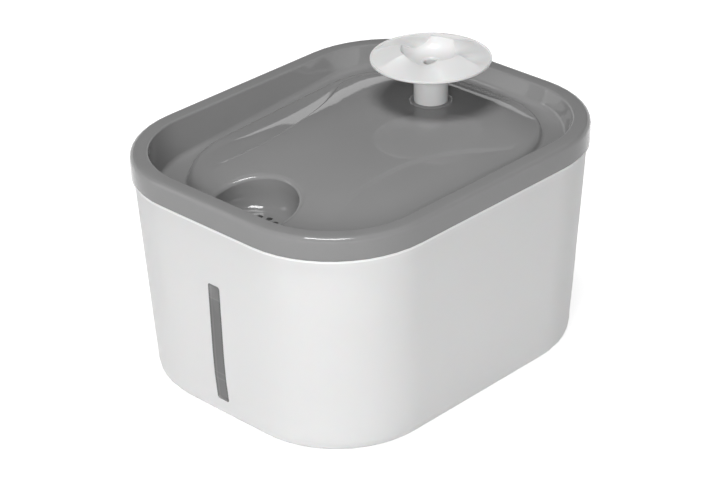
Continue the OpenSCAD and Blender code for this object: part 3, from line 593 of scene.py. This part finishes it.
def makeTray(s):
    piece = mergedCopy("top_tray")
    cut(piece, oldBowlFill(nodes["top_tray"], s), "UNION")
    cut(piece, bowlCup(s), "UNION")
    cut(piece, bowlPocket(s), "DIFFERENCE")
    cut(piece, lipCutter(s), "DIFFERENCE")
    cut(piece, drainPins(s), "DIFFERENCE")
    mergePoints(piece, 0.000003)
    settle(piece, "drinkingTray", "top_tray", 34)
    evenNormals(piece)
    return piece


drinkingTray = makeTray(bowl)
print("tray with its bowl:", len(drinkingTray.data.polygons), "faces")

# Flower: three wide petals scooped out of a low cone, three narrow ones between, round a deep cup
flower = {
    "axis": (0, 0.052), "rim": 0.0319, "rimHeight": 0.1515, "corner": 0.0160, "cornerHeight": 0.1562,
    "firstRidge": 11.6, "wide": 72.4, "narrow": 47.6, "wideSteps": 34, "narrowSteps": 16, "bulge": 1.25,
    "scoop": 0.0041, "scallop": 0.0030, "rimScoop": 0.0006, "lean": 0.7, "narrowScoop": 0.0005,
    "cupFloor": 0.1489, "cupRadius": 0.0053, "bore": 0.0036, "wall": 74, "seat": 0.1410, "plug": 0.00755,
}


def petalTurn(index, s):
    # angle of a vertex, its place across its petal, and whether the petal is a wide one
    turn, step = divmod(index, s["wideSteps"] + s["narrowSteps"])
    isWide = step < s["wideSteps"]
    across = step / s["wideSteps"] if isWide else (step - s["wideSteps"]) / s["narrowSteps"]
    past = across * s["wide"] if isWide else s["wide"] + across * s["narrow"]
    return math.radians(s["firstRidge"] + turn * 120 + past), across, isWide


def petalPoint(kind, share, index, s):
    angle, across, isWide = petalTurn(index, s)
    notch = math.sin(math.pi * across) ** 0.75 if isWide else 0
    edge = s["corner"] - s["scallop"] * notch
    edgeHeight = s["cornerHeight"] - s["scoop"] * notch
    if kind == "cup":
        lean, top = math.radians(share * s["wall"]), math.radians(s["wall"])
        wide, deep = edge - 0.0003 - s["cupRadius"], edgeHeight - 0.0004 - s["cupFloor"]
        radius = s["cupRadius"] + wide * math.sin(lean) / math.sin(top)
        height = s["cupFloor"] + deep * (1 - math.cos(lean)) / (1 - math.cos(top))
    elif kind == "lip":
        radius, height = edge - 0.00015 + 0.0004 * share, edgeHeight - 0.00012 * (1 - share)
    elif kind == "petal":
        # the scoop leans towards the petal's far ridge on its way out, and ends just short of the rim
        radius = edge + 0.0004 + (s["rim"] - 0.0009 - edge - 0.0004) * share
        ridge = s["cornerHeight"] - (s["cornerHeight"] - s["rimHeight"]) * share ** s["bulge"]
        leaned = math.sin(math.pi * across ** (1 + s["lean"] * share)) ** 0.75
        depth = s["rimScoop"] + (s["scoop"] - s["rimScoop"]) * (1 - share) if isWide else s["narrowScoop"]
        height = ridge - depth * leaned * (1 if isWide else math.sin(math.pi * share))
    else:
        radius, height = share
    return s["axis"][0] + radius * math.cos(angle), s["axis"][1] + radius * math.sin(angle), height


def makeFlower(s):
    rim, seat, plug, bore = s["rim"], s["seat"], s["plug"], s["bore"]
    inside = [(bore, 0.1478), (bore + 0.0004, 0.1485), (s["cupRadius"] - 0.0002, 0.1487)]
    across = (0.02, 0.07, 0.14, 0.22, 0.31, 0.40, 0.50, 0.60, 0.70, 0.79, 0.87, 0.94, 1.0)
    edge = [(rim - 0.0005, 0.15165), (rim - 0.00015, 0.1515), (rim, 0.1512), (rim, 0.1504),
        (rim - 0.0003, 0.15), (rim - 0.0012, 0.14962)]
    under = [(rim * 0.88, 0.1491), (rim * 0.74, 0.1483), (rim * 0.58, 0.1471), (rim * 0.42, 0.1453),
        (0.0108, 0.1432), (0.0096, 0.1418), (0.0092, seat), (plug, seat), (plug, seat - 0.0052),
        (plug - 0.0004, seat - 0.0055), (bore, seat - 0.0055)]
    rings = [("plain", place) for place in inside] + [("cup", k / 9) for k in range(10)]
    rings += [("lip", 0.0), ("lip", 1.0)] + [("petal", k) for k in across]
    rings += [("plain", place) for place in edge + under]
    # the ring's start height and angle tell which point of the flower it becomes
    low, rise, steps = 0.14, 0.0005, 3 * (s["wideSteps"] + s["narrowSteps"])
    plain = [(bore + 0.001 * k, low + rise * k) for k in range(len(rings))]
    piece = turned(plain, (s["axis"][0], s["axis"][1], 0), steps)
    for vertex in piece.data.vertices:
        ring = round((vertex.co.z - low) / rise)
        turn = math.degrees(math.atan2(vertex.co.y - s["axis"][1], vertex.co.x - s["axis"][0]))
        index = math.floor(turn / (360 / steps) + 0.001) % steps
        vertex.co = petalPoint(*rings[ring], index, s)
    editAll(piece)
    bpy.ops.mesh.normals_make_consistent(inside=False)
    leaveEdit()
    settle(piece, "flowerPetals", "flower_dish", 34)
    evenNormals(piece)
    return piece


petals = makeFlower(flower)
print("flower modelled:", len(petals.data.polygons), "faces")


# Tank edge: the thin white bead that shows under the tray's skirt, in the tank's white painted lighter as a
# painted highlight
edgeBead = {"low": 0.11435, "high": 0.115, "lift": 0.0002, "out": 0.0013, "inside": 0.0003, "round": 0.00018}
finishes["tank_edge"] = newMaterial("whiteEdgePaintedHighlight", mouldedSkin,
    {"Base": grey(0.93), "Tint": 0.99, "Gloss": 0.2, "Spread": 0.03, "Grain": 1600.0, "Depth": 0.000003,
     "Scratch": 0.02}, {"IOR": 1.5, "Subsurface Weight": 0.08, "Subsurface Scale": 0.002})


def makeBead(s):
    # a band of the tank's outer wall, thickened outwards and rounded
    piece = bpy.data.objects.new("edgeBead", nodes["tank"].data.copy())
    scene.collection.objects.link(piece)
    mergePoints(piece)
    for height, side in ((s["low"], -1), (s["high"], 1)):
        editAll(piece)
        bpy.ops.mesh.bisect(plane_co=(0, 0, height), plane_no=(0, 0, side), clear_outer=True)
        leaveEdit()
    editAll(piece)
    bpy.ops.mesh.select_all(action="DESELECT")
    bpy.ops.mesh.select_mode(type="FACE")
    leaveEdit()
    for face in piece.data.polygons:
        facesIn = face.normal.x * face.center.x + face.normal.y * face.center.y < 0
        face.select = facesIn or abs(face.normal.z) > 0.5
    bpy.ops.object.mode_set(mode="EDIT")
    bpy.ops.mesh.delete(type="FACE")
    bpy.ops.mesh.select_all(action="SELECT")
    bpy.ops.transform.translate(value=(0, 0, s["lift"]))
    leaveEdit()
    thickness = s["out"] + s["inside"]
    applyModifier(piece, "SOLIDIFY", thickness=thickness, offset=(s["out"] - s["inside"]) / thickness,
        use_even_offset=True)
    applyModifier(piece, "BEVEL", width=s["round"], segments=2, limit_method="ANGLE",
        angle_limit=math.radians(40))
    mergePoints(piece)
    settle(piece, "tankEdgeBead", "tank", 35, stands=False)
    # the bead takes the tank's white painted lighter, as a painted highlight
    piece.data.materials[0] = finishes["tank_edge"]
    return piece


makeBead(edgeBead)
print("tank edge bead made")

# Filter pad: a fleece pouch blown up by cloth simulation, with a welded seam round its middle
pad = {
    "centre": (0, -0.073), "radius": 0.0210, "low": 0.0738, "high": 0.0834, "round": 0.0026, "size": 20,
    "voxel": 0.02, "pressure": 4, "frames": 20, "cap": 0.0011, "reach": 0.0217, "lowest": 0.0728,
    "highest": 0.0844, "seam": 0.02175, "seamThick": 0.0005, "seamWide": 0.0012, "steps": 96,
}


def scaledAbout(piece, middle, size):
    for vertex in piece.data.vertices:
        vertex.co = middle + (vertex.co - middle) * size


def simulatePuff(piece, s):
    # twenty frames of cloth under pressure, with each point's movement capped
    before = [vertex.co.copy() for vertex in piece.data.vertices]
    cloth = piece.modifiers.new("puff", "CLOTH")
    cloth.settings.quality = 5
    cloth.settings.use_pressure = True
    cloth.settings.uniform_pressure_force = s["pressure"]
    cloth.settings.effector_weights.gravity = 0
    cloth.point_cache.frame_start = 1
    cloth.point_cache.frame_end = s["frames"]
    for step in range(1, s["frames"] + 1):
        scene.frame_set(step)
    bpy.ops.object.modifier_apply(modifier=cloth.name)
    scene.frame_set(1)
    cap = s["cap"] * s["size"]
    for vertex, start in zip(piece.data.vertices, before):
        move = vertex.co - start
        if move.length > cap:
            vertex.co = start + move * (cap / move.length)


def puff(piece, s):
    # the cover is simulated at a cushion's size, brought back to its own and kept in its CAD solid's space
    middle = Vector((s["centre"][0], s["centre"][1], (s["low"] + s["high"]) / 2))
    scaledAbout(piece, middle, s["size"])
    applyModifier(piece, "REMESH", mode="VOXEL", voxel_size=s["voxel"])
    simulatePuff(piece, s)
    scaledAbout(piece, middle, 1 / s["size"])
    applyModifier(piece, "SUBSURF", levels=1)
    cx, cy = s["centre"]
    for vertex in piece.data.vertices:
        reach = math.hypot(vertex.co.x - cx, vertex.co.y - cy)
        if reach > s["reach"]:
            vertex.co.x = cx + (vertex.co.x - cx) * s["reach"] / reach
            vertex.co.y = cy + (vertex.co.y - cy) * s["reach"] / reach
        vertex.co.z = min(s["highest"], max(s["lowest"], vertex.co.z))


def roundedDisc(s):
    turn, high, low, out = s["round"], s["high"], s["low"], s["radius"]
    angles = [math.radians(a) for a in range(0, 91, 15)]
    corner = [(out - turn * (1 - math.cos(a)), high - turn * (1 - math.sin(a))) for a in angles]
    foot = [(r, high + low - z) for r, z in reversed(corner)]
    flat = [(out - turn) * k for k in (0.8, 0.6, 0.4, 0.2)]
    profile = [(r, low) for r in reversed(flat)] + foot + corner + [(r, high) for r in flat]
    return turned(profile, (s["centre"][0], s["centre"][1], 0), s["steps"], poles=(True, True))


def makePad(s):
    piece = roundedDisc(s)
    puff(piece, s)
    middle, half, out = (s["low"] + s["high"]) / 2, s["seamThick"] / 2, s["seam"]
    welt = [(out - s["seamWide"], middle - half), (out - 0.0003, middle - half), (out, middle - half / 2),
        (out, middle + half / 2), (out - 0.0003, middle + half), (out - s["seamWide"], middle + half)]
    seam = turned(welt, (s["centre"][0], s["centre"][1], 0), s["steps"])
    onlySelect(piece)
    seam.select_set(True)
    bpy.ops.object.join()
    settle(piece, "filterPad", "filter_cartridge", 50)
    return piece


filterPad = makePad(pad)
print("filter pad puffed:", len(filterPad.data.polygons), "faces")

# Foams: a disc and a block with softened corners, sides that pull in and a surface that wavers
foamDisc = {"centre": (0, -0.073), "radius": 0.0217, "low": 0.0848, "high": 0.0904, "round": 0.0007,
    "steps": 120}
foamBlock = {"centre": (0, 0.035, 0.024975), "size": (0.0299, 0.0072, 0.0279), "round": 0.0009,
    "pull": 0.0004, "cuts": 11}
waverSettings = {"strength": 0.0003, "scale": 0.004, "middle": 0.6}


def waver(piece, name, s):
    # fixed clouds push the surface in and out
    clouds = bpy.data.textures.new(name, "CLOUDS")
    clouds.noise_scale = s["scale"]
    applyModifier(piece, "DISPLACE", texture=clouds, texture_coords="LOCAL", strength=s["strength"],
        mid_level=s["middle"])


def makeFoamDisc(s):
    piece = roundedDisc(s)
    waver(piece, "discClouds", waverSettings)
    settle(piece, "filterFoam", "filter_foam", 60)
    return piece


def makeFoamBlock(s):
    bpy.ops.mesh.primitive_cube_add(size=1, location=s["centre"])
    piece = bpy.context.object
    piece.scale = s["size"]
    bpy.ops.object.transform_apply(location=True, scale=True)
    editAll(piece)
    bpy.ops.mesh.bevel(offset=s["round"], segments=3)
    bpy.ops.mesh.select_all(action="SELECT")
    bpy.ops.mesh.subdivide(number_cuts=s["cuts"])
    leaveEdit()
    for vertex in piece.data.vertices:
        share = [(vertex.co[i] - s["centre"][i]) / (s["size"][i] / 2) for i in range(3)]
        vertex.co.x -= s["pull"] * share[0] * (1 - share[2] ** 2)
        vertex.co.z -= s["pull"] * share[2] * (1 - share[0] ** 2)
    waver(piece, "blockClouds", waverSettings)
    settle(piece, "pumpFoam", "pump_foam", 60)
    return piece


makeFoamDisc(foamDisc)
makeFoamBlock(foamBlock)
print("foams made")

# Winding: one turn of the coil, copied side by side between the bobbin's flanges
winding = {
    "thick": 0.002, "width": 0.00068, "pitch": 0.00072, "turns": 20, "low": (0.06655, 0.03485),
    "high": (0.08445, 0.04475), "corner": 0.0014, "sides": 12, "cornerSteps": 6,
}


def makeWinding(s):
    (y0, z0), (y1, z1), r = s["low"], s["high"], s["corner"]
    bpy.ops.mesh.primitive_circle_add(vertices=s["sides"], radius=s["width"] / 2, fill_type="NOTHING",
        location=(0, y0 + r, z0), rotation=(math.pi / 2, 0, 0))
    piece = bpy.context.object
    bpy.ops.object.transform_apply(location=True, rotation=True)
    editAll(piece)
    bpy.ops.transform.resize(value=(1, 1, s["thick"] / s["width"]), center_override=(0, y0 + r, z0))
    runY, runZ = y1 - y0 - 2 * r, z1 - z0 - 2 * r
    sides = [((0, runY, 0), (0, y1 - r, z0 + r)), ((0, 0, runZ), (0, y1 - r, z1 - r)),
        ((0, -runY, 0), (0, y0 + r, z1 - r)), ((0, 0, -runZ), (0, y0 + r, z0 + r))]
    for run, corner in sides:
        bpy.ops.mesh.extrude_edges_move(TRANSFORM_OT_translate={"value": run})
        bpy.ops.mesh.spin(steps=s["cornerSteps"], angle=-math.pi / 2, center=corner, axis=(1, 0, 0))
    bpy.ops.mesh.select_all(action="SELECT")
    bpy.ops.mesh.remove_doubles(threshold=0.00002)
    bpy.ops.mesh.normals_make_consistent(inside=False)
    leaveEdit()
    offsets = [(step - (s["turns"] - 1) / 2) * s["pitch"] for step in range(s["turns"])]
    turns = [piece]
    for offset in offsets[1:]:
        onlySelect(piece)
        bpy.ops.object.duplicate()
        bpy.context.object.location.x = offset
        turns.append(bpy.context.object)
    piece.location.x = offsets[0]
    onlySelect(piece)
    for turn in turns:
        turn.select_set(True)
    bpy.ops.object.join()
    return settle(piece, "copperTurns", "stator_coil", 50)


copperTurns = makeWinding(winding)
print("winding made:", len(copperTurns.data.polygons), "faces")


# Camera: fitted to the outlines of rim, skirt, plateau and flower
cameraSettings = {
    "azimuth": 44.05, "elevation": 28.23, "roll": -1.0, "distance": 1.30915, "target": (0, 0, 0.06),
    "focalPixels": 2494.36, "imageWidth": 721, "imageHeight": 480, "targetPixel": (364.64, 246.55),
    "sensor": 36, "clip": (0.05, 30),
}


def outward(s):
    # direction from the object to a camera or lamp
    azimuth, elevation = math.radians(s["azimuth"]), math.radians(s["elevation"])
    level = math.cos(elevation)
    return Vector((math.sin(azimuth) * level, -math.cos(azimuth) * level, math.sin(elevation)))


def makeCamera(s):
    azimuth, roll = math.radians(s["azimuth"]), math.radians(s["roll"])
    back = outward(s)
    right = Vector((math.cos(azimuth), math.sin(azimuth), 0))
    up = back.cross(right)
    across = right * math.cos(roll) + up * math.sin(roll)
    upright = up * math.cos(roll) - right * math.sin(roll)
    turn = Matrix((across, upright, back)).transposed().to_4x4()
    bpy.ops.object.camera_add()
    camera = bpy.context.object
    camera.name = "photoCamera"
    camera.matrix_world = Matrix.Translation(Vector(s["target"]) + back * s["distance"]) @ turn
    camera.data.sensor_width = s["sensor"]
    camera.data.lens = s["focalPixels"] / s["imageWidth"] * s["sensor"]
    camera.data.shift_x = (s["imageWidth"] / 2 - s["targetPixel"][0]) / s["imageWidth"]
    camera.data.shift_y = (s["targetPixel"][1] - s["imageHeight"] / 2) / s["imageWidth"]
    camera.data.clip_start, camera.data.clip_end = s["clip"]
    scene.camera = camera
    return camera


makeCamera(cameraSettings)

# Studio: pale floor, dim ceiling, a soft box by the camera, a long one on the left, a small one
# high up and a weak one behind. Only the left and the high one show as reflections.
studio = {
    "key": {"azimuth": 37, "elevation": 21, "distance": 1.9, "width": 0.9, "height": 0.6, "watts": 24},
    "side": {"azimuth": -50, "elevation": 25, "distance": 1.8, "width": 0.4, "height": 0.9, "watts": 2},
    "top": {"azimuth": 21, "elevation": 75, "distance": 1.3, "width": 0.55, "height": 0.4, "watts": 12},
    "back": {"azimuth": 205, "elevation": 22, "distance": 2.0, "width": 0.9, "height": 0.6, "watts": 3},
    "boxTarget": (0, 0, 0.1), "worldLevel": 0.13, "stageSize": 12, "floorColor": 0.62, "floorGlow": 0.8,
    "glowRange": (0.35, 1.4), "ceilingHeight": 2.2, "ceilingColor": 0.12, "stageRoughness": 0.9,
}


def addSoftBox(name, s, target):
    back = outward(s)
    bpy.ops.object.light_add(type="AREA")
    lamp = bpy.context.object
    lamp.name = name
    lamp.data.shape = "RECTANGLE"
    lamp.data.size, lamp.data.size_y = s["width"], s["height"]
    lamp.data.energy = s["watts"]
    lamp.location = Vector(target) + back * s["distance"]
    lamp.rotation_euler = back.to_track_quat("Z", "Y").to_euler()
    return lamp


def seenRays(tree):
    # 1 for rays from the camera and for those that a mirror or glass sends on
    path = addNode(tree, "LightPath")
    direct = mathNode(tree, "MAXIMUM", path.outputs["Is Camera Ray"], path.outputs["Is Glossy Ray"])
    return mathNode(tree, "MAXIMUM", direct, path.outputs["Is Transmission Ray"])


def makeWorld(s):
    # a dim even light that looks white
    world = bpy.data.worlds.new("whiteStudio")
    scene.world = world
    world.use_nodes = True
    sky = world.node_tree
    skyLight = sky.nodes["Background"]
    seenSky = addNode(sky, "Background", Strength=1.0)
    seenSky.inputs["Color"].default_value = (1, 1, 1, 1)
    skyLight.inputs["Color"].default_value = (1, 1, 1, 1)
    skyLight.inputs["Strength"].default_value = s["worldLevel"]
    choose = addNode(sky, "MixShader")
    sky.links.new(seenRays(sky), choose.inputs[0])
    sky.links.new(skyLight.outputs[0], choose.inputs[1])
    sky.links.new(seenSky.outputs[0], choose.inputs[2])
    sky.links.new(choose.outputs[0], sky.nodes["World Output"].inputs["Surface"])


def addStagePlane(name, paintName, height, color, s):
    bpy.ops.mesh.primitive_plane_add(size=s["stageSize"], location=(0, 0, height))
    plane = bpy.context.object
    plane.name = name
    paint = bpy.data.materials.new(paintName)
    paint.use_nodes = True
    shader = paint.node_tree.nodes["Principled BSDF"]
    shader.inputs["Base Color"].default_value = grey(color)
    shader.inputs["Roughness"].default_value = s["stageRoughness"]
    plane.data.materials.append(paint)
    return paint.node_tree, shader


def makeFloor(s):
    # the floor keeps the shadow, and its glow rises to white away from the object
    sweep, shader = addStagePlane("studioFloor", "whiteSweep", 0, s["floorColor"], s)
    shader.inputs["Specular IOR Level"].default_value = 0.0
    glow = addNode(sweep, "Emission")
    place = addNode(sweep, "TexCoord")
    distance = addNode(sweep, "VectorMath", {"operation": "LENGTH"})
    sweep.links.new(place.outputs["Object"], distance.inputs[0])
    near, far = s["glowRange"]
    fade = addNode(sweep, "MapRange", From_Min=near, From_Max=far, To_Min=s["floorGlow"], To_Max=1.0)
    sweep.links.new(distance.outputs["Value"], fade.inputs["Value"])
    sweep.links.new(mathNode(sweep, "MULTIPLY", seenRays(sweep), fade.outputs[0]), glow.inputs["Strength"])
    both = addNode(sweep, "AddShader")
    sweep.links.new(shader.outputs[0], both.inputs[0])
    sweep.links.new(glow.outputs[0], both.inputs[1])
    sweep.links.new(both.outputs[0], sweep.nodes["Material Output"].inputs["Surface"])


for boxName in ("key", "side", "top", "back"):
    softBox = addSoftBox(boxName + "SoftBox", studio[boxName], studio["boxTarget"])
    softBox.visible_glossy = boxName in ("side", "top")
makeWorld(studio)
makeFloor(studio)
addStagePlane("studioCeiling", "dimCeiling", studio["ceilingHeight"], studio["ceilingColor"], studio)
print("camera and studio set")

scene.view_settings.view_transform = "Standard"
